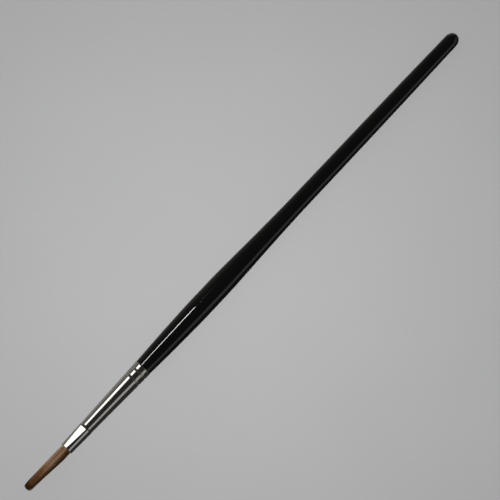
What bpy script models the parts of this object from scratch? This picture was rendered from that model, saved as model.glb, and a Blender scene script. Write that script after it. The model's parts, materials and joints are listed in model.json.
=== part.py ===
"""A fine detail brush: a small flat tuft of hair in a pressed and crimped nickel ferrule, on a lacquered handle.

The brush lies along X, with the tips of its hair at -X and the tail of its handle at +X. It rests on Z = 0 on the
belly of the handle, and the pressed faces of the ferrule look up and down. Everything is in metres.

Places along the brush are given as distances from the tips of the hair. The empty brush_axis sits at those tips, on
the axis of the brush, and every piece is placed from it.
"""

import math

import bmesh
import bpy
from mathutils import Vector

MM = 0.001
SIDES = 40  # facets round each piece; one faces straight down and one straight up
HANDLE_SIDES = 20  # wide enough facets for the brush to stand still on one

TOTAL_LENGTH = 195.0 * MM

# Hair
HAIR_LENGTH = 17.6 * MM  # free hair in front of the ferrule
MOUTH_HAIR = (1.55 * MM, 0.38 * MM)  # half thickness, and how far the two rounded edges are spread from the middle
TIP_HAIR = (0.30 * MM, 1.08 * MM)
TIP_SHIFT = 0.54 * MM  # the tips lean to the +Y side
TIP_ROUNDING = 0.35 * MM
PIVOT = 0.85 * HAIR_LENGTH  # where a rigid tuft turns like a bending one: 15% of its length in front of the ferrule
PIVOT_GAP = 0.25 * MM
ROOT_END = 29.4 * MM
TIED_START = 27.5 * MM
TIED_RADIUS = 1.45 * MM
THREAD_RADIUS = 0.11 * MM
THREAD_PITCH = 0.28 * MM
THREAD_TURNS = 4
CEMENT_LENGTH = 2.4 * MM

# Ferrule: a conical tube of nickel-plated brass, with two opposite faces pressed flat behind its mouth
FERRULE_LENGTH = 34.6 * MM
FERRULE_END = HAIR_LENGTH + FERRULE_LENGTH
MOUTH_RADIUS = 2.00 * MM  # of the round tube before it was pressed
END_RADIUS = 2.93 * MM
WALL = 0.27 * MM
PRESSED_END = 26.0 * MM
PRESS_FADE = 0.8 * MM  # from the pressed shape back to the round cone
PRESSED_HALF_THICKNESS = 1.94 * MM
PRESSED_SPREAD = 0.11 * MM  # how far pressing pushes out each rounded side
CRIMPS = (47.45 * MM, 50.1 * MM)  # centres of the two rolled grooves
CRIMP_HALF_WIDTH = 0.36 * MM
CRIMP_DEPTH = 0.16 * MM

# Handle
TENON_START = 33.0 * MM
TENON_CHAMFER = 0.6 * MM
BELLY = 81.5 * MM
BELLY_BAND = 9.0 * MM  # the widest stretch, straight enough to rest on; the brush balances on it
BELLY_RADIUS = 3.59 * MM
TAIL_ROUNDING = 2.8 * MM
HANDLE_OUTLINE = (  # distance from the hair's tips, and radius
    (FERRULE_END, 2.83 * MM),
    (60.0 * MM, 3.17 * MM),
    (70.0 * MM, 3.46 * MM),
    (BELLY - BELLY_BAND / 2, BELLY_RADIUS),
    (BELLY + BELLY_BAND / 2, BELLY_RADIUS),
    (93.0 * MM, 3.44 * MM),
    (108.0 * MM, 2.965 * MM),
    (122.0 * MM, 2.695 * MM),
    (150.0 * MM, 2.59 * MM),
    (172.0 * MM, 2.45 * MM),
    (TOTAL_LENGTH - TAIL_ROUNDING, 2.255 * MM),
)
HANDLE_STEP = 3.6 * MM

# Clearances between pieces that touch on the real brush
HAIR_GAP = 0.08 * MM
CEMENT_GAP = 0.06 * MM
GLUE_GAP = 0.05 * MM
GLUE_THICKNESS = 0.10 * MM
SHOULDER_GAP = 0.05 * MM

AXIS_HEIGHT = BELLY_RADIUS


def blend(a, b, t):
    """a at t = 0 and b at t = 1, in a straight line."""
    return a + (b - a) * t


def ease(t):
    """0 to 1 with level ends."""
    t = min(max(t, 0.0), 1.0)
    return t * t * (3 - 2 * t)


def spaced(start, end, step):
    """Places from start to end, both included, no more than a step apart."""
    count = max(1, math.ceil((end - start) / step - 1e-9))
    return [blend(start, end, i / count) for i in range(count + 1)]


def ring(distance, radius, spread=0.0, shift=0.0, flat=math.inf, sides=SIDES):
    """Points round the axis: two half circles pushed a spread each way from the middle, all moved by shift.

    The facets touch the circles halfway along each, so the piece is as thick across its facets as it should be.
    Above and below, the ring goes no further from the axis than flat.
    """
    corner = radius / math.cos(math.pi / sides)
    points = []
    for i in range(sides):
        angle = (i + 0.5) * 2 * math.pi / sides
        side = math.copysign(1.0, math.cos(angle))
        y = corner * math.cos(angle) + side * spread + shift
        z = min(max(corner * math.sin(angle), -flat), flat)
        points.append(Vector((distance, y, z)))
    return points


def clear_scene():
    for thing in list(bpy.data.objects):
        bpy.data.objects.remove(thing, do_unlink=True)


def principled(name, color, roughness, metallic=0.0, coat=0.0):
    material = bpy.data.materials.new(name)
    material.use_nodes = True
    shader = material.node_tree.nodes["Principled BSDF"]
    shader.inputs["Base Color"].default_value = (*color, 1.0)
    shader.inputs["Roughness"].default_value = roughness
    shader.inputs["Metallic"].default_value = metallic
    shader.inputs["Coat Weight"].default_value = coat
    material.diffuse_color = (*color, 1.0)
    return material


def lacquer_material():
    return principled("black_lacquer", (0.010, 0.009, 0.009), 0.25, coat=1.0)


def nickel_material():
    return principled("nickel_plate", (0.72, 0.70, 0.66), 0.15, metallic=1.0)


def hair_material(name):
    return principled(name, (0.17, 0.10, 0.055), 0.45)


def thread_material():
    return principled("cotton_thread", (0.70, 0.64, 0.52), 0.80)


def cement_material():
    return principled("cured_epoxy", (0.45, 0.30, 0.12), 0.30)


def glue_material():
    return principled("dried_glue", (0.72, 0.66, 0.50), 0.45)


def brush_axis():
    """The empty that every piece is placed from: at the tips of the hair, on the axis."""
    empty = bpy.data.objects.new("brush_axis", None)
    empty.location = (-TOTAL_LENGTH / 2, 0.0, AXIS_HEIGHT)
    bpy.context.scene.collection.objects.link(empty)
    return empty


def place(name, data, material, origin, axis):
    """One named piece, with its own origin at a distance along the axis."""
    data.materials.append(material)
    piece = bpy.data.objects.new(name, data)
    piece.parent = axis
    piece.location = (origin, 0.0, 0.0)
    bpy.context.scene.collection.objects.link(piece)
    return piece


def loft(name, rings, material, origin, axis, tube=False):
    """A solid through a row of rings. A tube's rings run along its outside and back along its inside."""
    bm = bmesh.new()
    offset = Vector((origin, 0.0, 0.0))
    loops = [[bm.verts.new(point - offset) for point in points] for points in rings]
    pairs = list(zip(loops, loops[1:]))
    if tube:
        pairs.append((loops[-1], loops[0]))
    else:
        bm.faces.new(loops[0])
        bm.faces.new(loops[-1])
    for near, far in pairs:
        for i in range(len(near)):
            j = (i + 1) % len(near)
            bm.faces.new((near[i], far[i], far[j], near[j]))
    bmesh.ops.recalc_face_normals(bm, faces=bm.faces)
    mesh = bpy.data.meshes.new(name)
    bm.to_mesh(mesh)
    bm.free()
    mesh.shade_smooth()
    mesh.set_sharp_from_angle(angle=math.radians(35))
    return place(name, mesh, material, origin, axis)


def cone_radius(distance):
    """The ferrule's outer radius as a round tube, with the grooves of the crimps rolled into it."""
    radius = blend(MOUTH_RADIUS, END_RADIUS, (distance - HAIR_LENGTH) / FERRULE_LENGTH)
    for centre in CRIMPS:
        away = abs(distance - centre) / CRIMP_HALF_WIDTH
        radius -= CRIMP_DEPTH * ease(1 - away)
    return radius


def ferrule_ring(distance, inset=0.0, sides=SIDES):
    """The ferrule's outside, or a layer inset below it: a cone whose pressed stretch is flat above and below."""
    radius = cone_radius(distance)
    pressed = 1 - ease((distance - PRESSED_END) / PRESS_FADE)
    flat = blend(radius, PRESSED_HALF_THICKNESS, pressed)
    return ring(distance, radius - inset, pressed * PRESSED_SPREAD, flat=flat - inset, sides=sides)


def ferrule_stations(start, end):
    """Places where the ferrule, and what lines it, changes shape between two distances."""
    stations = [PRESSED_END + PRESS_FADE * i / 4 for i in range(5)]
    for centre in CRIMPS:
        stations += [centre + CRIMP_HALF_WIDTH * i / 2 for i in range(-2, 3)]
    return [start] + [s for s in stations if start < s < end] + [end]


def ferrule_layer(start, end, inset, sides=SIDES):
    """Rings from start to end, inset below the ferrule's outside."""
    return [ferrule_ring(s, inset, sides) for s in ferrule_stations(start, end)]


def make_ferrule(axis):
    outside = ferrule_layer(HAIR_LENGTH, FERRULE_END, 0.0)
    inside = ferrule_layer(HAIR_LENGTH, FERRULE_END, WALL)
    return loft("ferrule", outside + inside[::-1], nickel_material(), HAIR_LENGTH, axis, tube=True)


def outline_slopes(points):
    """Slope of a smooth curve at each point of an outline: level at an end of a level run, and no overshoot."""
    rises = [(b[1] - a[1]) / (b[0] - a[0]) for a, b in zip(points, points[1:])]
    slopes = [rises[0]]
    for before, after in zip(rises, rises[1:]):
        same_way = before * after > 0
        slopes.append(2 * before * after / (before + after) if same_way else 0.0)
    return slopes + [rises[-1]]


def outline_radius(distance, points, slopes):
    """Radius of the smooth curve through an outline, as a cubic between each two of its points."""
    last = len(points) - 2
    i = next((k for k in range(last) if distance <= points[k + 1][0]), last)
    (x0, r0), (x1, r1) = points[i], points[i + 1]
    length = x1 - x0
    t = (distance - x0) / length
    bend_0 = slopes[i] * length * t * (1 - t) ** 2
    bend_1 = slopes[i + 1] * length * t * t * (1 - t)
    return blend(r0, r1, ease(t)) + bend_0 - bend_1


def turned_ring(distance, radius):
    return ring(distance, radius, sides=HANDLE_SIDES)


def handle_rings():
    slopes = outline_slopes(HANDLE_OUTLINE)
    rings = []
    for (start, _), (end, _) in zip(HANDLE_OUTLINE, HANDLE_OUTLINE[1:]):
        step = BELLY_BAND if start == BELLY - BELLY_BAND / 2 else HANDLE_STEP
        for distance in spaced(start, end, step)[1:]:
            rings.append(turned_ring(distance, outline_radius(distance, HANDLE_OUTLINE, slopes)))
    return rings


def tail_rings():
    """The rounded tail: a quarter of an ellipse turned round the axis."""
    start, radius = HANDLE_OUTLINE[-1]
    angles = [math.radians(angle) for angle in (18, 36, 54, 70, 82)]
    rings = [turned_ring(start + TAIL_ROUNDING * math.sin(a), radius * math.cos(a)) for a in angles]
    button = turned_ring(TOTAL_LENGTH, radius * math.cos(angles[-1]) / 2)
    return rings + [button]


def make_handle(axis):
    """Turned wood: a tenon that fills the ferrule, a shoulder that the ferrule stops at, the belly and the tail."""
    inset = WALL + 2 * GLUE_GAP + GLUE_THICKNESS
    tenon = ferrule_layer(TENON_START + TENON_CHAMFER, FERRULE_END, inset, HANDLE_SIDES)
    chamfer = turned_ring(TENON_START, cone_radius(TENON_START) - inset - TENON_CHAMFER)
    neck = turned_ring(FERRULE_END + SHOULDER_GAP, cone_radius(FERRULE_END) - inset)
    shoulder = turned_ring(FERRULE_END + SHOULDER_GAP, HANDLE_OUTLINE[0][1])
    rings = [chamfer] + tenon + [neck, shoulder] + handle_rings() + tail_rings()
    return loft("handle", rings, lacquer_material(), FERRULE_END, axis)


def make_handle_glue(axis):
    """The film of glue that holds the tenon in the ferrule."""
    start = TENON_START + TENON_CHAMFER
    outside = ferrule_layer(start, FERRULE_END, WALL + GLUE_GAP)
    inside = ferrule_layer(start, FERRULE_END, WALL + GLUE_GAP + GLUE_THICKNESS)
    return loft("handle_glue", outside + inside[::-1], glue_material(), start, axis, tube=True)


def hair_section(distance):
    """Half thickness, spread and shift of the free hair."""
    t = distance / HAIR_LENGTH
    thickness, spread = (blend(tip, mouth, t) for tip, mouth in zip(TIP_HAIR, MOUTH_HAIR))
    return thickness, spread, TIP_SHIFT * (1 - ease(t))


def make_hair_head(axis):
    """The part of the tuft that bends. It turns about the pivot, and its rear end is round about it."""
    rings = []
    for angle in (0, 40, 90):
        distance = TIP_ROUNDING * (1 - math.cos(math.radians(angle)))
        thickness, spread, shift = hair_section(distance)
        tuck = TIP_ROUNDING * (1 - math.sin(math.radians(angle)))
        rings.append(ring(distance, thickness * (0.6 + 0.4 * angle / 90), spread - tuck, shift))
    for distance in spaced(TIP_ROUNDING, PIVOT, 3.0 * MM)[1:]:
        rings.append(ring(distance, *hair_section(distance)))
    thickness, spread, shift = hair_section(PIVOT)
    for angle in (25, 50, 75):
        swing = math.radians(angle)
        half = thickness * math.cos(swing)
        rings.append(ring(PIVOT + thickness * math.sin(swing), half, spread + thickness - half, shift))
    return loft("hair_head", rings, hair_material("hair_tips"), PIVOT, axis)


def make_hair_root(axis):
    """The part of the tuft that the ferrule holds, from just behind the pivot to its tied end."""
    start = PIVOT + hair_section(PIVOT)[0] + PIVOT_GAP
    inset = WALL + HAIR_GAP
    rings = [ring(start, *hair_section(start))]
    for distance in (HAIR_LENGTH, PRESSED_END):
        rings.append(ferrule_ring(distance, inset))
    for distance in (TIED_START, ROOT_END):
        rings.append(ring(distance, TIED_RADIUS))
    return loft("hair_root", rings, hair_material("hair_roots"), HAIR_LENGTH, axis)


def make_hair_cement(axis):
    """The plug of epoxy that the roots are set in, hollowed at its back where it crept up the ferrule's wall."""
    start = ROOT_END + CEMENT_GAP
    end = start + CEMENT_LENGTH
    inset = WALL + CEMENT_GAP
    edge = cone_radius(end) - inset
    rings = [ring(start, cone_radius(start) - inset), ring(end, edge)]
    for share in (0.75, 0.4):
        rings.append(ring(end - 0.3 * CEMENT_LENGTH * (1 - share**2), edge * share))
    return loft("hair_cement", rings, cement_material(), start, axis)


def make_binding_thread(axis):
    """The thread wound round the tied end of the hair, as a curve along its turns."""
    wound = TIED_RADIUS + HAIR_GAP + THREAD_RADIUS
    start = (TIED_START + ROOT_END - THREAD_TURNS * THREAD_PITCH) / 2
    steps = 20
    points = []
    for i in range(THREAD_TURNS * steps + 1):
        turn = 2 * math.pi * i / steps
        points.append((THREAD_PITCH * i / steps, wound * math.cos(turn), wound * math.sin(turn)))
    curve = bpy.data.curves.new("binding_thread", "CURVE")
    curve.dimensions = "3D"
    curve.bevel_depth = THREAD_RADIUS
    curve.bevel_resolution = 1
    curve.use_fill_caps = True
    spline = curve.splines.new("POLY")
    spline.points.add(len(points) - 1)
    for spline_point, point in zip(spline.points, points):
        spline_point.co = (*point, 1.0)
    return place("binding_thread", curve, thread_material(), start, axis)


def main():
    clear_scene()
    axis = brush_axis()
    make_handle(axis)
    make_handle_glue(axis)
    make_ferrule(axis)
    make_hair_head(axis)
    make_hair_root(axis)
    make_hair_cement(axis)
    make_binding_thread(axis)


main()
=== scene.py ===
"""Looks of the fine detail brush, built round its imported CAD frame. Everything is in metres."""

import json
import math

import bpy
import numpy as np
from mathutils import Matrix, Vector


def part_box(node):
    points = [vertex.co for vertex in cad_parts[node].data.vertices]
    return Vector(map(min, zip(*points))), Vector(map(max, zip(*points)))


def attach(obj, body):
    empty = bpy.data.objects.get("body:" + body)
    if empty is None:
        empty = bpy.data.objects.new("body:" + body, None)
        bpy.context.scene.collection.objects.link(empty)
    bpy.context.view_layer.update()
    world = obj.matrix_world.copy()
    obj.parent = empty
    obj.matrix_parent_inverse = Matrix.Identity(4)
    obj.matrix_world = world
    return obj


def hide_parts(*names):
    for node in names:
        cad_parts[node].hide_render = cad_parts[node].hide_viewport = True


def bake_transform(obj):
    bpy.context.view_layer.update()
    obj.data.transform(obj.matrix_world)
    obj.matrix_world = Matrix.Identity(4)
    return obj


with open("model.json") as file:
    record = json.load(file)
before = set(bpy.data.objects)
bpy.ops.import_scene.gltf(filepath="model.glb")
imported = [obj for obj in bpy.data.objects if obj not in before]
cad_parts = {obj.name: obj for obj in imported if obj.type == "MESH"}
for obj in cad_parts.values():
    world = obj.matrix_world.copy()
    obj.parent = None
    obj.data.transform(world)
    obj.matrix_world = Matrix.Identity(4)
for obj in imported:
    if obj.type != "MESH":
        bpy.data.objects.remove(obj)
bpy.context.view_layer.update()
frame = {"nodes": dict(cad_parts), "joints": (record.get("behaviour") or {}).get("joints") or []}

MM = 0.001

# Places read from the frame
HANDLE_LOW, HANDLE_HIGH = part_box("handle")
FERRULE_LOW, FERRULE_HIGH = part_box("ferrule")
TIP_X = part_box("hair_head")[0].x
ROOT_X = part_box("hair_root")[1].x
MOUTH_X = FERRULE_LOW.x
SHOULDER_X = FERRULE_HIGH.x
TAIL_X = HANDLE_HIGH.x
AXIS_Z = (HANDLE_LOW.z + HANDLE_HIGH.z) / 2
HAIR_LENGTH = MOUTH_X - TIP_X
PIVOT_X = frame["joints"][0]["pos_m"][0]

SAME = 0.002 * MM  # sizes that differ by less are one size
RING_GAP = 0.01 * MM  # points of a CAD mesh that lie closer than this along X are in one ring

# Handle
HANDLE_AROUND = 112  # points round it
HANDLE_STEP = 0.8 * MM  # from ring to ring
SHOULDER_ROUNDING = 0.12 * MM
SHOULDER_STEPS = 6
PAST_SHOULDER = 0.1 * MM  # a ring this close keeps the rounding's shading off the handle
TAIL_STRETCH = 6.0 * MM  # where the rings crowd together towards the end
TAIL_RINGS = 30
TAIL_TURNS = 0.05, math.pi / 2 - 0.004  # a quarter turn, short of its start and of the very end
TAIL_TIP = 0.001 * MM  # how far past the last ring of the CAD mesh the radius is zero

# Ferrule
FERRULE_AROUND = 168  # points round it
FERRULE_RINGS = 330  # along its outside
INSIDE_EVERY = 6  # the inside has one ring for this many on the outside
WALL = 0.27 * MM
LIP_STEPS = 6
FACET_ROUNDING = 0.03 * MM  # how softly the pressed faces meet the round sides
PRESS_CLEAR = 0.4 * MM  # past the pressed stretch, where nothing is cut from the round cone any more
CLEAR_THERE, CLEAR_AT_END = 0.3 * MM, 1.0 * MM  # how far outside the cone the cut is there, and at the end

# Hair
STRANDS = 1150
STRAND_SIDES = 5
STRAND_RADIUS = 0.043 * MM
STRAND_TIP_RADIUS = 0.013 * MM
STRAND_TAPER = 0.45  # share of the free length over which a hair thins
LEAST_INSIDE = 0.2  # of the bundle's half thickness, what is at least left for the lines of the hairs
STATIONS_HELD = 3  # points along a hair inside the ferrule
STATIONS_FREE = 13  # and outside it
STATION_CROWDING = 1.3  # above 1, a hair's stations lie closer together near the ferrule, where it bends
BEFORE_ROOT, BEHIND_MOUTH = 0.1 * MM, 0.4 * MM  # where the held stations start and end
WANDER = 0.07 * MM  # about how far a tip drifts sideways
WANDER_THROUGH = 0.5  # share of that which it drifts through the thickness of the tuft
TIP_INSET = 0.02 * MM
TIP_ROUGHNESS = 0.12 * MM
OUTER_SHORTFALL = 0.25 * MM  # the outermost hairs, above and below, end this much sooner
CORNER_SHORTFALL = 0.6 * MM  # and so do those at the two edges
SHORT_HAIRS = 0.12  # share of the hairs
SHORT_BY = 0.5 * MM, 5.0 * MM  # the least and the most that they end sooner
RIM_HAIRS = 0.2  # share of the hairs that lie on the outside of the bundle
SEAT_JITTER = 0.012  # of the bundle's half width
OUTERMOST_SEAT = 0.995
WHOLE_RING = 0.9  # a ring of the CAD mesh with fewer points than this share of the usual number isn't whole
PIVOT_CLEAR, MOUTH_CLEAR = 0.1 * MM, 0.02 * MM  # rings from past the pivot to short of the mouth are left out
CLUMPS = 34
CLUMP_PULL = 0.30  # share of the way that a tip is drawn to the middle of its clump
CLUMP_TONES = 0.34  # spread of the clumps' tones, where 0 is darkest and 1 lightest
STRAND_TONES = 0.15
LATE = 1.5  # power that holds the clumping and the drift back towards the tips
SEED = 7

# Camera: it looks down on the brush, which runs from the lower left to the upper right
CAMERA_ELEVATION = math.radians(66.5)
CAMERA_TILT = math.radians(5)  # it stands this far from square to the brush, towards the hair
CAMERA_ROLL = math.radians(46.6877)
CAMERA_LENS = 600.0
SENSOR = 36.0  # like the lens, in millimetres
VIEW_WIDTH = 155.206 * MM  # what the frame's width takes in at the brush
VIEW_CENTRE_X = TIP_X + 101.713 * MM
VIEW_CENTRE_UP = 0.888 * MM  # the frame's centre lies this far above the axis, across the view


# ---------------------------------------------------------------- curves and sections


def smooth_curve(xs, ys):
    """A smooth curve through points that never overshoots them, as a function of x."""
    xs, ys = np.asarray(xs, float), np.asarray(ys, float)
    step = np.diff(xs)
    rise = np.diff(ys) / step
    slope = np.zeros(len(xs))
    slope[0], slope[-1] = rise[0], rise[-1]
    before, after = rise[:-1], rise[1:]
    same = before * after > 0
    slope[1:-1][same] = 2 * before[same] * after[same] / (before + after)[same]

    def at(x):
        x = np.clip(x, xs[0], xs[-1])
        i = np.clip(np.searchsorted(xs, x) - 1, 0, len(step) - 1)
        t = (x - xs[i]) / step[i]
        bends = step[i] * t * (1 - t) * (slope[i] * (1 - t) - slope[i + 1] * t)
        return ys[i] + (ys[i + 1] - ys[i]) * t * t * (3 - 2 * t) + bends

    return at


def rings_of(*nodes):
    """The points of CAD nodes, as one array for each ring of them along X."""
    points = np.vstack([[v.co for v in frame["nodes"][node].data.vertices] for node in nodes])
    points = points[np.argsort(points[:, 0])]
    return np.split(points, np.nonzero(np.diff(points[:, 0]) > RING_GAP)[0] + 1)


def cad_rings(node):
    """The outer surface of a CAD node along X: the x, half thickness and half width of each of its rings."""
    groups = rings_of(node)
    x = np.array([g[:, 0].mean() for g in groups])
    half_thickness = np.array([np.abs(g[:, 2] - AXIS_Z).max() for g in groups])
    half_width = np.array([np.abs(g[:, 1]).max() for g in groups])
    return x, half_thickness, half_width


def section(x, radius, around, spread=0.0, flat=math.inf):
    """Points round the axis: a circle, widened by the spread to each side and cut flat above and below."""
    turns = (np.arange(around) + 0.5) * 2 * math.pi / around
    y = (radius + spread) * np.cos(turns)
    z = radius * np.sin(turns)
    if math.isfinite(flat):
        over = np.abs(z) - flat
        z = np.sign(z) * (np.abs(z) + flat - np.sqrt(over**2 + FACET_ROUNDING**2)) / 2
    return np.column_stack([np.full(around, x), y, z + AXIS_Z])


# ---------------------------------------------------------------- meshes


def new_object(name, data):
    """An object in the scene that shows a mesh, a lamp or a camera."""
    thing = bpy.data.objects.new(name, data)
    bpy.context.scene.collection.objects.link(thing)
    return thing


def new_piece(name, points, faces, material, smooth=True):
    """A mesh object of one material."""
    mesh = bpy.data.meshes.new(name)
    mesh.from_pydata([tuple(p) for p in points], [], faces)
    mesh.materials.append(material)
    mesh.update()
    if smooth:
        mesh.shade_smooth()
    return new_object(name, mesh)


def bridge(rings, around, closed):
    """Faces between rings of points, one ring after another; closed joins the last ring to the first."""
    faces = []
    count = len(rings)
    for i in range(count if closed else count - 1):
        a, b = i * around, (i + 1) % count * around
        for j in range(around):
            k = (j + 1) % around
            faces.append((a + j, a + k, b + k, b + j))
    return faces


def add_values(piece, name, values):
    """A named value for each point, which the piece's material reads."""
    attribute = piece.data.attributes.new(name, "FLOAT", "POINT")
    attribute.data.foreach_set("value", np.asarray(values, np.float32))


def make_handle(material):
    """The turned handle, from its shoulder to its rounded tail, with a tenon inside the ferrule."""
    x, half, _ = cad_rings("handle")
    bare = x > SHOULDER_X
    radius_squared_at = smooth_curve(np.append(x[bare], TAIL_X + TAIL_TIP), np.append(half[bare] ** 2, 0.0))
    tenon_x, tenon_radius = x[~bare], half[~bare]
    start = x[bare][0]
    quarter = np.linspace(0, math.pi / 2, SHOULDER_STEPS)
    places = [start + SHOULDER_ROUNDING * (1 - math.cos(a)) for a in quarter]
    places += list(np.arange(places[-1] + PAST_SHOULDER, TAIL_X - TAIL_STRETCH, HANDLE_STEP))
    places += [TAIL_X - TAIL_STRETCH * math.cos(a) for a in np.linspace(*TAIL_TURNS, TAIL_RINGS)]
    rings = [section(place, radius, HANDLE_AROUND) for place, radius in zip(tenon_x, tenon_radius)]
    rings.append(section(start, tenon_radius[-1], HANDLE_AROUND))
    for place in places:
        radius = math.sqrt(float(radius_squared_at(place)))
        before_round = max(0.0, 1 - (place - start) / SHOULDER_ROUNDING)
        radius -= SHOULDER_ROUNDING * (1 - math.sqrt(1 - min(before_round, 1.0) ** 2))
        rings.append(section(place, radius, HANDLE_AROUND))
    points = np.vstack(rings)
    faces = bridge(rings, HANDLE_AROUND, closed=False)
    last = (len(rings) - 1) * HANDLE_AROUND
    faces.append(tuple(range(HANDLE_AROUND))[::-1])
    faces.append(tuple(last + j for j in range(HANDLE_AROUND)))
    piece = new_piece("turned_handle", points, faces, material)
    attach(piece, "brush")
    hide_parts("handle")
    return piece


def ferrule_shape():
    """The ferrule's outside along X: radius, spread to the sides, half the distance between its flats, and
    the depth of its grooves.
    """
    x, half, width = cad_rings("ferrule")
    whole = width > half - SAME  # the frame's mesh leaves out points that lie on a straight run
    x, half, width = x[whole], half[whole], width[whole]
    turned = width - half < SAME
    slope = (half[-1] - half[turned][0]) / (x[-1] - x[turned][0])
    cone = half[-1] + slope * (x - x[-1])
    depth_at = smooth_curve(x, np.where(turned, np.maximum(cone - half, 0.0), 0.0))
    spread_at = smooth_curve(x, np.where(turned, 0.0, np.maximum(width - cone, 0.0)))
    first_x, first_half, first_cone = x[turned][0], half[turned][0], cone[turned][0]
    flat_x = np.append(x[~turned], [first_x, first_x + PRESS_CLEAR, x[-1]])
    flat = np.append(half[~turned], [first_half, first_cone + CLEAR_THERE, cone[-1] + CLEAR_AT_END])
    flat_at = smooth_curve(flat_x, flat)

    def at(place):
        depth = float(depth_at(place))
        radius = half[-1] + slope * (place - x[-1]) - depth
        return radius, float(spread_at(place)), float(flat_at(place)), depth

    return at


def make_ferrule(material):
    """The metal tube: its two pressed faces, its cone, its two rolled grooves and its rounded lips."""
    shape_at = ferrule_shape()
    lip = WALL / 2
    places = list(np.linspace(MOUTH_X + lip, SHOULDER_X - lip, FERRULE_RINGS))
    turns = np.linspace(0, math.pi, LIP_STEPS + 2)
    outer = [(p, 0.0) for p in places]
    end_lip = [(SHOULDER_X - lip + lip * math.sin(a), lip * (1 - math.cos(a))) for a in turns[1:-1]]
    inner = [(p, WALL) for p in places[::-INSIDE_EVERY]]
    mouth_lip = [(MOUTH_X + lip - lip * math.sin(a), lip * (1 + math.cos(a))) for a in turns[1:-1]]
    rings, grooves = [], []
    for place, inset in outer + end_lip + inner + mouth_lip:
        radius, spread, flat, depth = shape_at(place)
        rings.append(section(place, radius - inset, FERRULE_AROUND, spread, flat - inset))
        grooves += [depth / MM if inset < WALL else 0.0] * FERRULE_AROUND
    faces = bridge(rings, FERRULE_AROUND, closed=True)
    piece = new_piece("pressed_ferrule", np.vstack(rings), faces, material)
    add_values(piece, "groove", grooves)
    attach(piece, "brush")
    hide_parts("ferrule")
    return piece


# ---------------------------------------------------------------- hair


def hair_shape():
    """Half the bundle's thickness and the places of its two edges along X, outside and inside the ferrule."""
    groups = rings_of("hair_head", "hair_root")
    most = np.median([len(g) for g in groups])
    x, half, low, high = [], [], [], []
    for g in groups:
        place = g[:, 0].mean()
        if PIVOT_X + PIVOT_CLEAR < place < MOUTH_X - MOUTH_CLEAR:
            continue  # the rounded ends on each side of the pivot
        if len(g) < WHOLE_RING * most:
            continue  # the frame's mesh leaves out points that lie on a straight run
        x.append(place)
        half.append(np.abs(g[:, 2] - AXIS_Z).max())
        low.append(g[:, 1].min())
        high.append(g[:, 1].max())
    return tuple(smooth_curve(x, values) for values in (half, low, high))


def strand_seats(rng):
    """Where each hair sits in the bundle: its share of the half width, and of the half thickness there.

    The hairs are spread as the seeds of a sunflower, and the last of them all lie on the rim.
    """
    golden = math.pi * (3 - math.sqrt(5))
    n = np.arange(STRANDS) + 0.5
    radius = np.minimum(np.sqrt(n / STRANDS / (1 - RIM_HAIRS)), 1.0)
    turn = n * golden
    across = radius * np.cos(turn) + rng.normal(0, SEAT_JITTER, STRANDS)
    through = radius * np.sin(turn) + rng.normal(0, SEAT_JITTER, STRANDS)
    across = np.clip(across, -OUTERMOST_SEAT, OUTERMOST_SEAT)
    through = np.clip(through / np.sqrt(1 - across**2), -1, 1)
    return across, through


def strand_clumps(rng, across, through):
    """The hair in the middle of each hair's clump, and each hair's tone: its clump's, and some of its own."""
    middles = rng.choice(STRANDS, CLUMPS, replace=False)
    seats = np.column_stack([across, through * np.sqrt(1 - across**2)])
    away = np.linalg.norm(seats[:, None] - seats[middles][None], axis=2)
    clump = away.argmin(axis=1)
    tones = 0.5 + rng.normal(0, CLUMP_TONES, CLUMPS)[clump] + rng.normal(0, STRAND_TONES, STRANDS)
    return middles[clump], np.clip(tones, 0, 1)


def wander(rng, count):
    """Smooth sideways drift of each hair along its length, as two slow waves of random height and phase."""
    heights = rng.normal(0, 1, (2, count)) * WANDER / 2
    phases = rng.uniform(0, 2 * math.pi, (2, count))
    turns = 0.6, 1.6  # of each wave over the free length

    def at(share):
        waves = [h * np.sin(2 * math.pi * n * share + p) for n, h, p in zip(turns, heights, phases)]
        return share**LATE * sum(waves)

    return at


def tip_places(rng, across, through):
    """Where each hair ends along X: the outer ones a little sooner, and a few of them much sooner."""
    tip = TIP_X + TIP_INSET + np.abs(rng.normal(0, 1, STRANDS)) * TIP_ROUGHNESS
    tip += OUTER_SHORTFALL * np.abs(through) ** 3 + CORNER_SHORTFALL * np.abs(across) ** 4
    short = rng.random(STRANDS) < SHORT_HAIRS
    tip[short] += rng.uniform(*SHORT_BY, short.sum())
    return tip


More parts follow.
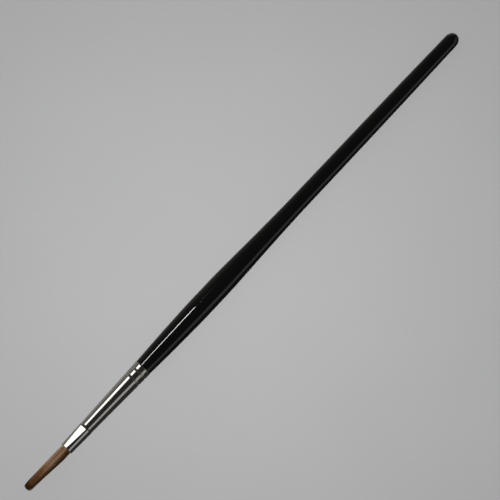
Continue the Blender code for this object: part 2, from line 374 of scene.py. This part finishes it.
def strand_lines():
    """The line, radius and share of the free length at each station of every hair, and each hair's tone."""
    rng = np.random.default_rng(SEED)
    half_at, low_at, high_at = hair_shape()
    across, through = strand_seats(rng)
    middle, tones = strand_clumps(rng, across, through)
    drift_y, drift_z = wander(rng, STRANDS), wander(rng, STRANDS)
    tip = tip_places(rng, across, through)
    held = np.linspace(ROOT_X - BEFORE_ROOT, MOUTH_X + BEHIND_MOUTH, STATIONS_HELD)
    shares = np.linspace(0, 1, STATIONS_FREE) ** STATION_CROWDING
    stations = [np.full(STRANDS, x) for x in held] + [MOUTH_X + (tip - MOUTH_X) * s for s in shares]

    lines, radii, alongs = [], [], []
    for x in stations:
        free = np.clip((MOUTH_X - x) / HAIR_LENGTH, 0, 1)
        half, low, high = half_at(x), low_at(x), high_at(x)
        inner_half = np.maximum(half - STRAND_RADIUS, LEAST_INSIDE * half)
        inner_width = np.maximum((high - low) / 2 - STRAND_RADIUS, LEAST_INSIDE * half)
        pull = CLUMP_PULL * free**LATE
        side = across + (across[middle] - across) * pull
        depth = through + (through[middle] - through) * pull
        y = side * inner_width
        spread = np.maximum(inner_width - inner_half, 0)
        past = np.clip(np.abs(y) - spread, 0, inner_half)
        z = depth * np.sqrt(np.maximum(inner_half**2 - past**2, 0))
        y = y + (high + low) / 2 + drift_y(free)
        z = z + WANDER_THROUGH * drift_z(free)
        lines.append(np.column_stack([x, y, z + AXIS_Z]))
        thinning = np.clip((free - (1 - STRAND_TAPER)) / STRAND_TAPER, 0, 1)
        radii.append(STRAND_RADIUS + (STRAND_TIP_RADIUS - STRAND_RADIUS) * thinning)
        alongs.append(free)
    radii[-1] = np.full(STRANDS, STRAND_TIP_RADIUS / 2)
    return np.array(lines), np.array(radii), np.array(alongs), tones


def strand_faces(stations):
    """The sides and the two ends of every hair."""
    faces = []
    for strand in range(STRANDS):
        first = strand * stations * STRAND_SIDES
        for i in range(stations - 1):
            a, b = first + i * STRAND_SIDES, first + (i + 1) * STRAND_SIDES
            for j in range(STRAND_SIDES):
                k = (j + 1) % STRAND_SIDES
                faces.append((a + j, b + j, b + k, a + k))
        faces.append(tuple(first + j for j in range(STRAND_SIDES)))
        end = first + (stations - 1) * STRAND_SIDES
        faces.append(tuple(end + j for j in range(STRAND_SIDES))[::-1])
    return faces


def make_hair(material):
    """Every hair as its own thin tapered tube, from its tied root, through the ferrule, to its tip."""
    lines, radii, alongs, tones = strand_lines()
    stations = len(lines)
    turns = np.arange(STRAND_SIDES) * 2 * math.pi / STRAND_SIDES
    circle = np.column_stack([np.zeros(STRAND_SIDES), np.cos(turns), np.sin(turns)])
    points = lines[:, :, None, :] + radii[:, :, None, None] * circle
    points = points.transpose(1, 0, 2, 3).reshape(-1, 3)
    piece = new_piece("hair_strands", points, strand_faces(stations), material)
    add_values(piece, "along", np.repeat(alongs.T.reshape(-1), STRAND_SIDES))
    add_values(piece, "tone", np.repeat(tones, stations * STRAND_SIDES))
    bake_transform(piece)
    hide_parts("hair_head", "hair_root")
    return piece


# ---------------------------------------------------------------- materials


def plug(tree, socket, value):
    """Links an input to another node's output, or gives it a plain value."""
    if isinstance(value, bpy.types.NodeSocket):
        tree.links.new(value, socket)
    else:
        socket.default_value = value


def add(tree, kind, inputs=None, **settings):
    """A shader node. settings are its properties; inputs has what goes into its inputs, by name or number."""
    node = tree.nodes.new(kind)
    for name, value in settings.items():
        setattr(node, name, value)
    for name, value in (inputs or {}).items():
        plug(tree, node.inputs[name], value)
    return node


def feed(tree, shader, **values):
    """Fills the shader's inputs. The spaces in their names are written as underscores."""
    for name, value in values.items():
        plug(tree, shader.inputs[name.replace("_", " ")], value)


def new_material(name):
    """A material, its node tree and its shader."""
    material = bpy.data.materials.new(name)
    material.use_nodes = True
    return material, material.node_tree, material.node_tree.nodes["Principled BSDF"]


def object_mm(tree, stretch=(1.0, 1.0, 1.0)):
    """Position on the piece in millimetres, stretched along its axes."""
    place = add(tree, "ShaderNodeTexCoord").outputs["Object"]
    scale = tuple(1000 * s for s in stretch)
    return add(tree, "ShaderNodeMapping", {"Vector": place, "Scale": scale}).outputs["Vector"]


def noise(tree, vector, scale, detail=2.0, roughness=0.5):
    """Soft noise between 0 and 1, with this many spots to the unit of the vector."""
    inputs = {"Vector": vector, "Scale": scale, "Detail": detail, "Roughness": roughness}
    return add(tree, "ShaderNodeTexNoise", inputs).outputs["Fac"]


def spread_over(tree, value, low, high, new_low, new_high):
    """value moved from one range to another, and held inside it."""
    inputs = {"Value": value, "From Min": low, "From Max": high, "To Min": new_low, "To Max": new_high}
    return add(tree, "ShaderNodeMapRange", inputs, clamp=True).outputs["Result"]


def mixed(tree, factor, a, b):
    """Colour a where factor is 0 and b where it is 1. Inputs 6 and 7 and output 2 are the node's colours."""
    return add(tree, "ShaderNodeMix", {0: factor, 6: a, 7: b}, data_type="RGBA").outputs[2]


def bump(tree, height, distance, normal=None):
    """The surface's normal, bent by a height that is this distance from its lowest to its highest."""
    inputs = {"Height": height, "Distance": distance, "Strength": 1.0}
    if normal is not None:
        inputs["Normal"] = normal
    return add(tree, "ShaderNodeBump", inputs).outputs["Normal"]


def lacquer_material():
    """Gloss black lacquer over turned wood: faint grain, orange peel, and a haze of handling."""
    material, tree, shader = new_material("black_lacquer")
    grain = noise(tree, object_mm(tree, (0.05, 1.6, 1.6)), 1.0, 3.0)
    peel = noise(tree, object_mm(tree), 0.9, 2.0)
    haze = noise(tree, object_mm(tree, (0.5, 1.0, 1.0)), 0.22, 3.0)
    surface = bump(tree, grain, 0.004 * MM)
    surface = bump(tree, peel, 0.002 * MM, surface)
    feed(
        tree,
        shader,
        Base_Color=mixed(tree, haze, (0.011, 0.0105, 0.0105, 1), (0.016, 0.0155, 0.015, 1)),
        Roughness=spread_over(tree, haze, 0.35, 0.75, 0.03, 0.06),
        Normal=surface,
    )
    return material


def nickel_material():
    """Nickel plate on a rolled tube: fine scratches round it, and dulled and darker in the grooves, partly as
    dirt and partly as painted shade.
    """
    material, tree, shader = new_material("nickel_plate")
    scratches = noise(tree, object_mm(tree, (18.0, 0.5, 0.5)), 1.0, 3.0)
    smudge = noise(tree, object_mm(tree), 0.5, 3.0)
    groove = add(tree, "ShaderNodeAttribute", attribute_name="groove").outputs["Fac"]
    # Darker in the grooves: partly dirt, and partly painted shade standing for the shade in their hollows.
    groove_dirt_and_shade = spread_over(tree, groove, 0.02, 0.16, 0.0, 0.8)
    clean = mixed(tree, smudge, (0.80, 0.78, 0.745, 1), (0.74, 0.715, 0.67, 1))
    feed(
        tree,
        shader,
        Base_Color=mixed(tree, groove_dirt_and_shade, clean, (0.10, 0.085, 0.07, 1)),
        Metallic=1.0,
        Roughness=spread_over(tree, smudge, 0.3, 0.8, 0.06, 0.10),
        Normal=bump(tree, scratches, 0.0002 * MM),
    )
    return material


def hair_material():
    """Sable-brown hair, darker and redder towards the tips, with every hair in its own tone."""
    material, tree, shader = new_material("sable_hair")
    along = add(tree, "ShaderNodeAttribute", attribute_name="along").outputs["Fac"]
    tone = add(tree, "ShaderNodeAttribute", attribute_name="tone").outputs["Fac"]
    mottle = noise(tree, object_mm(tree, (0.25, 2.0, 2.0)), 1.0, 2.0)
    ramp = add(tree, "ShaderNodeValToRGB", {"Fac": along})
    stops = ramp.color_ramp.elements
    stops[0].position, stops[0].color = 0.0, (0.37, 0.205, 0.090, 1)
    stops[1].position, stops[1].color = 1.0, (0.11, 0.040, 0.006, 1)
    between = (
        (0.38, (0.36, 0.220, 0.115, 1)),
        (0.60, (0.20, 0.081, 0.022, 1)),
        (0.75, (0.14, 0.049, 0.005, 1)),
    )
    for place, color in between:
        stops.new(place).color = color
    dark = mixed(tree, 0.6, ramp.outputs["Color"], (0.02, 0.010, 0.004, 1))
    light = mixed(tree, 0.35, ramp.outputs["Color"], (0.55, 0.42, 0.28, 1))
    shade = mixed(tree, spread_over(tree, tone, 0.0, 0.5, 0.0, 1.0), dark, ramp.outputs["Color"])
    shade = mixed(tree, spread_over(tree, tone, 0.6, 1.0, 0.0, 0.8), shade, light)
    streak = noise(tree, object_mm(tree, (0.12, 1.1, 1.1)), 1.0, 1.0)
    warm = mixed(tree, 0.7, shade, (0.34, 0.115, 0.020, 1))
    shade = mixed(tree, spread_over(tree, streak, 0.45, 0.70, 0.0, 0.8), shade, warm)
    feed(
        tree,
        shader,
        Base_Color=mixed(tree, spread_over(tree, mottle, 0.3, 0.8, 0.0, 0.35), shade, dark),
        Roughness=spread_over(tree, mottle, 0.3, 0.8, 0.40, 0.55),
        Specular_IOR_Level=0.15,
    )
    return material


def thread_material():
    """Undyed cotton, with the fuzz of its fibres."""
    material, tree, shader = new_material("cotton_thread")
    fibres = noise(tree, object_mm(tree), 9.0, 4.0)
    feed(
        tree,
        shader,
        Base_Color=mixed(tree, fibres, (0.55, 0.49, 0.38, 1), (0.78, 0.73, 0.62, 1)),
        Roughness=0.85,
        Normal=bump(tree, fibres, 0.02 * MM),
    )
    return material


def resin_material(name, deep, pale, roughness):
    """Set resin or glue, a little cloudy."""
    material, tree, shader = new_material(name)
    cloud = noise(tree, object_mm(tree), 1.3, 3.0)
    feed(
        tree,
        shader,
        Base_Color=mixed(tree, cloud, deep, pale),
        Roughness=spread_over(tree, cloud, 0.3, 0.7, roughness, roughness + 0.15),
        Normal=bump(tree, cloud, 0.02 * MM),
    )
    return material


def paper_material():
    """Pale matt paper with a little tooth."""
    material, tree, shader = new_material("pale_paper")
    tooth = noise(tree, object_mm(tree), 1.5, 4.0, 0.6)
    cloud = noise(tree, object_mm(tree), 0.02, 2.0)
    feed(
        tree,
        shader,
        Base_Color=mixed(tree, cloud, (0.50, 0.50, 0.505, 1), (0.53, 0.53, 0.53, 1)),
        Roughness=0.95,
        Specular_IOR_Level=0.1,
        Normal=bump(tree, tooth, 0.01 * MM),
    )
    return material


def repaint(node, material):
    """A carried-over CAD node gets a finished material."""
    mesh_object = frame["nodes"][node]
    mesh_object.data.materials.clear()
    mesh_object.data.materials.append(material)


# ---------------------------------------------------------------- stage, light and camera

CARRIED_OVER = ("binding_thread", "hair_cement", "handle_glue")
FLOOR_SIZE = 20.0  # from its middle to each side
FLOOR_GAP = 0.1 * MM
ROOM_FILL = 0.08  # how bright the room is for matt surfaces
ROOM_GLOW = (  # how bright gloss mirrors the room, by degrees round the brush from the camera over the top
    (-130, 0.03),
    (-80, 0.025),
    (0, 0.022),
    (30, 0.03),
    (60, 0.05),
    (78, 0.10),
    (95, 0.15),
    (115, 0.21),
    (135, 0.25),
    (165, 0.20),
)
END_GLOW = (  # the same, towards the two ends of the brush
    (-130, 0.06),
    (-90, 0.08),
    (-78, 0.50),
    (-52, 0.50),
    (-40, 0.06),
    (82, 0.06),
    (94, 0.40),
    (128, 0.40),
    (140, 0.12),
    (165, 0.08),
)
BESIDE, BEYOND = 0.25, 0.45  # how far a direction leans along the brush where END_GLOW starts and is full
OPPOSITE_GLOW = 0.05  # half a turn round the brush from the camera, where both glows start and end
GLOW_TINT = 1.0, 0.96, 0.90
FLOOR_GLOW = 0.294  # what the floor sends back far from the lamp over the brush, and what lies beyond it
PAPER = 0.52  # how much of the light the floor's paper sends back
PANELS = {  # from and to in degrees round the brush, reach, from and to along it, radiance
    "ferrule_key": (34, 63, 0.8, -0.16, 0.0, 1.6),
    "ferrule_edge": (-33, -64, 0.5, -0.13, 0.0, 0.32),
    "lacquer_line": (34.5, 40.5, 0.8, -0.13, 0.037, 23.0),
    "lacquer_edge": (-58, -88, 0.5, -0.12, 0.26, 0.45),
    "hair_key": (50, 76, 0.8, -0.20, 0.06, 18.0),
}
FLOOR_LAMP = 0.08, 0.15075, 2.7  # length, width and radiance
FLOOR_LAMP_PLACE = -0.011, 0.010, 0.155
AHEAD = Vector((1, 0, 0))  # along the brush, from its hair to its tail
TOWARDS_CAMERA = Vector((0, -math.cos(CAMERA_ELEVATION), math.sin(CAMERA_ELEVATION)))
ACROSS_VIEW = Vector((0, math.sin(CAMERA_ELEVATION), math.cos(CAMERA_ELEVATION)))


def round_the_axis(degrees):
    """Direction square to the brush, this far round it from the camera; positive turns over the top."""
    turn = math.radians(degrees)
    return TOWARDS_CAMERA * math.cos(turn) + ACROSS_VIEW * math.sin(turn)


def make_camera():
    """A long lens above the brush, rolled so that the brush runs from the lower left to the upper right."""
    data = bpy.data.cameras.new("camera")
    data.lens = CAMERA_LENS
    data.sensor_width = SENSOR
    distance = VIEW_WIDTH * CAMERA_LENS / SENSOR
    data.clip_start = distance * 0.05
    data.clip_end = distance * 50
    camera = new_object("camera", data)
    backward = TOWARDS_CAMERA * math.cos(CAMERA_TILT) - AHEAD * math.sin(CAMERA_TILT)
    level = AHEAD * math.cos(CAMERA_TILT) + TOWARDS_CAMERA * math.sin(CAMERA_TILT)
    right = level * math.cos(CAMERA_ROLL) - ACROSS_VIEW * math.sin(CAMERA_ROLL)
    up = level * math.sin(CAMERA_ROLL) + ACROSS_VIEW * math.cos(CAMERA_ROLL)
    target = Vector((VIEW_CENTRE_X, 0, AXIS_Z)) + ACROSS_VIEW * VIEW_CENTRE_UP
    turned = Matrix((right, up, backward)).transposed().to_4x4()
    camera.matrix_world = Matrix.Translation(target + backward * distance) @ turned
    bpy.context.scene.camera = camera


def area_lamp(name, length, width, radiance, receivers):
    """A flat soft light that the camera doesn't see.

    It lights only its receivers, as a flag or a snoot would see to in a studio.
    """
    data = bpy.data.lights.new(name, "AREA")
    data.shape = "RECTANGLE"
    data.size = length
    data.size_y = width
    data.energy = radiance * math.pi * length * width
    lamp = new_object(name, data)
    lamp.visible_camera = False
    lamp.light_linking.receiver_collection = receivers
    return lamp


def panel(name, receivers):
    """One of the PANELS: a lamp along the brush, between two angles round it, facing its axis."""
    start, end, reach, low_x, high_x, radiance = PANELS[name]
    towards = round_the_axis((start + end) / 2)
    width = 2 * reach * math.tan(math.radians(abs(end - start) / 2))
    lamp = area_lamp(name, high_x - low_x, width, radiance, receivers)
    turned = Matrix((AHEAD, towards.cross(AHEAD), towards)).transposed().to_4x4()
    centre = Vector(((low_x + high_x) / 2, 0, AXIS_Z)) + towards * reach
    lamp.matrix_world = Matrix.Translation(centre) @ turned


def make_floor():
    """Plain pale paper under the brush. The brush neither mirrors it nor takes light or shadow from it."""
    signs = (-1, -1), (1, -1), (1, 1), (-1, 1)
    corners = [(x * FLOOR_SIZE, y * FLOOR_SIZE, -FLOOR_GAP) for x, y in signs]
    floor = new_piece("pale_floor", corners, [(0, 1, 2, 3)], paper_material(), smooth=False)
    floor.visible_glossy = False
    floor.visible_diffuse = False
    floor.visible_shadow = False
    return floor


def group(name, objects):
    """A collection of objects that lamps are linked to."""
    collection = bpy.data.collections.new(name)
    for thing in objects:
        collection.objects.link(thing)
    return collection


def background(tree, color, strength):
    """A shader that glows in one colour."""
    return add(tree, "ShaderNodeBackground", {"Color": color, "Strength": strength}).outputs[0]


def choose(tree, factor, a, b):
    """Shader a, or b where factor is 1."""
    return add(tree, "ShaderNodeMixShader", {0: factor, 1: a, 2: b}).outputs[0]


def glow_round(tree, share, glows):
    """What the room mirrors at each share of a turn round the brush."""
    ramp = add(tree, "ShaderNodeValToRGB", {"Fac": share})
    stops = ramp.color_ramp.elements
    for stop in stops:
        stop.color = (OPPOSITE_GLOW, OPPOSITE_GLOW, OPPOSITE_GLOW, 1)
    for degrees, glow in glows:
        stops.new((degrees + 180) / 360).color = [glow * tint for tint in GLOW_TINT] + [1]
    return ramp.outputs["Color"]


def make_world():
    """Plain studio surroundings: a dark room, with paler walls behind the brush and past both its ends."""
    world = bpy.data.worlds.new("studio")
    bpy.context.scene.world = world
    world.use_nodes = True
    tree = world.node_tree
    tree.nodes.clear()
    rays = add(tree, "ShaderNodeLightPath").outputs
    way = add(tree, "ShaderNodeTexCoord").outputs["Generated"]
    leans = []
    for direction in (ACROSS_VIEW, TOWARDS_CAMERA, AHEAD):
        dot = add(tree, "ShaderNodeVectorMath", {0: way, 1: direction}, operation="DOT_PRODUCT")
        leans.append(dot.outputs["Value"])
    angle = add(tree, "ShaderNodeMath", {0: leans[0], 1: leans[1]}, operation="ARCTAN2").outputs[0]
    share = spread_over(tree, angle, -math.pi, math.pi, 0.0, 1.0)
    lengthways = add(tree, "ShaderNodeMath", {0: leans[2]}, operation="ABSOLUTE").outputs[0]
    ends = spread_over(tree, lengthways, BESIDE, BEYOND, 0.0, 1.0)
    glow = mixed(tree, ends, glow_round(tree, share, ROOM_GLOW), glow_round(tree, share, END_GLOW))
    seen = background(tree, (FLOOR_GLOW, FLOOR_GLOW, FLOOR_GLOW, 1), 1.0)
    mirrored = background(tree, glow, 1.0)
    soft = background(tree, (1, 1, 1, 1), ROOM_FILL)
    shader = choose(tree, rays["Is Glossy Ray"], soft, mirrored)
    shader = choose(tree, rays["Is Camera Ray"], shader, seen)
    add(tree, "ShaderNodeOutputWorld", {"Surface": shader})


def light_the_floor(ground):
    """An even sun and a small lamp over the brush. Nothing but the floor takes or blocks their light."""
    data = bpy.data.lights.new("floor_fill", "SUN")
    data.energy = (FLOOR_GLOW / PAPER - ROOM_FILL) * math.pi
    sun = new_object("floor_fill", data)
    sun.light_linking.receiver_collection = ground
    lamp = area_lamp("floor_light", *FLOOR_LAMP, ground)
    lamp.matrix_world = Matrix.Translation(FLOOR_LAMP_PLACE)
    for light in (sun, lamp):
        light.light_linking.blocker_collection = ground


def light_the_scene(handle, ferrule, hair, floor):
    """Aims each lamp at one piece. The nodes inside the ferrule get the hair's light."""
    wood = group("lit_handle", [handle])
    metal = group("lit_ferrule", [ferrule])
    bristle = group("lit_hair", [hair] + [frame["nodes"][name] for name in CARRIED_OVER])
    panel("ferrule_key", metal)
    panel("ferrule_edge", metal)
    panel("lacquer_line", wood)
    panel("lacquer_edge", wood)
    panel("hair_key", bristle)
    light_the_floor(group("lit_floor", [floor]))


def main():
    bpy.context.scene.view_settings.view_transform = "Standard"
    handle = make_handle(lacquer_material())
    ferrule = make_ferrule(nickel_material())
    hair = make_hair(hair_material())
    repaint("binding_thread", thread_material())
    repaint("hair_cement", resin_material("set_epoxy", (0.30, 0.17, 0.05, 1), (0.55, 0.38, 0.16, 1), 0.2))
    repaint("handle_glue", resin_material("set_glue", (0.60, 0.53, 0.38, 1), (0.78, 0.73, 0.60, 1), 0.4))
    floor = make_floor()
    make_world()
    light_the_scene(handle, ferrule, hair, floor)
    make_camera()


main()
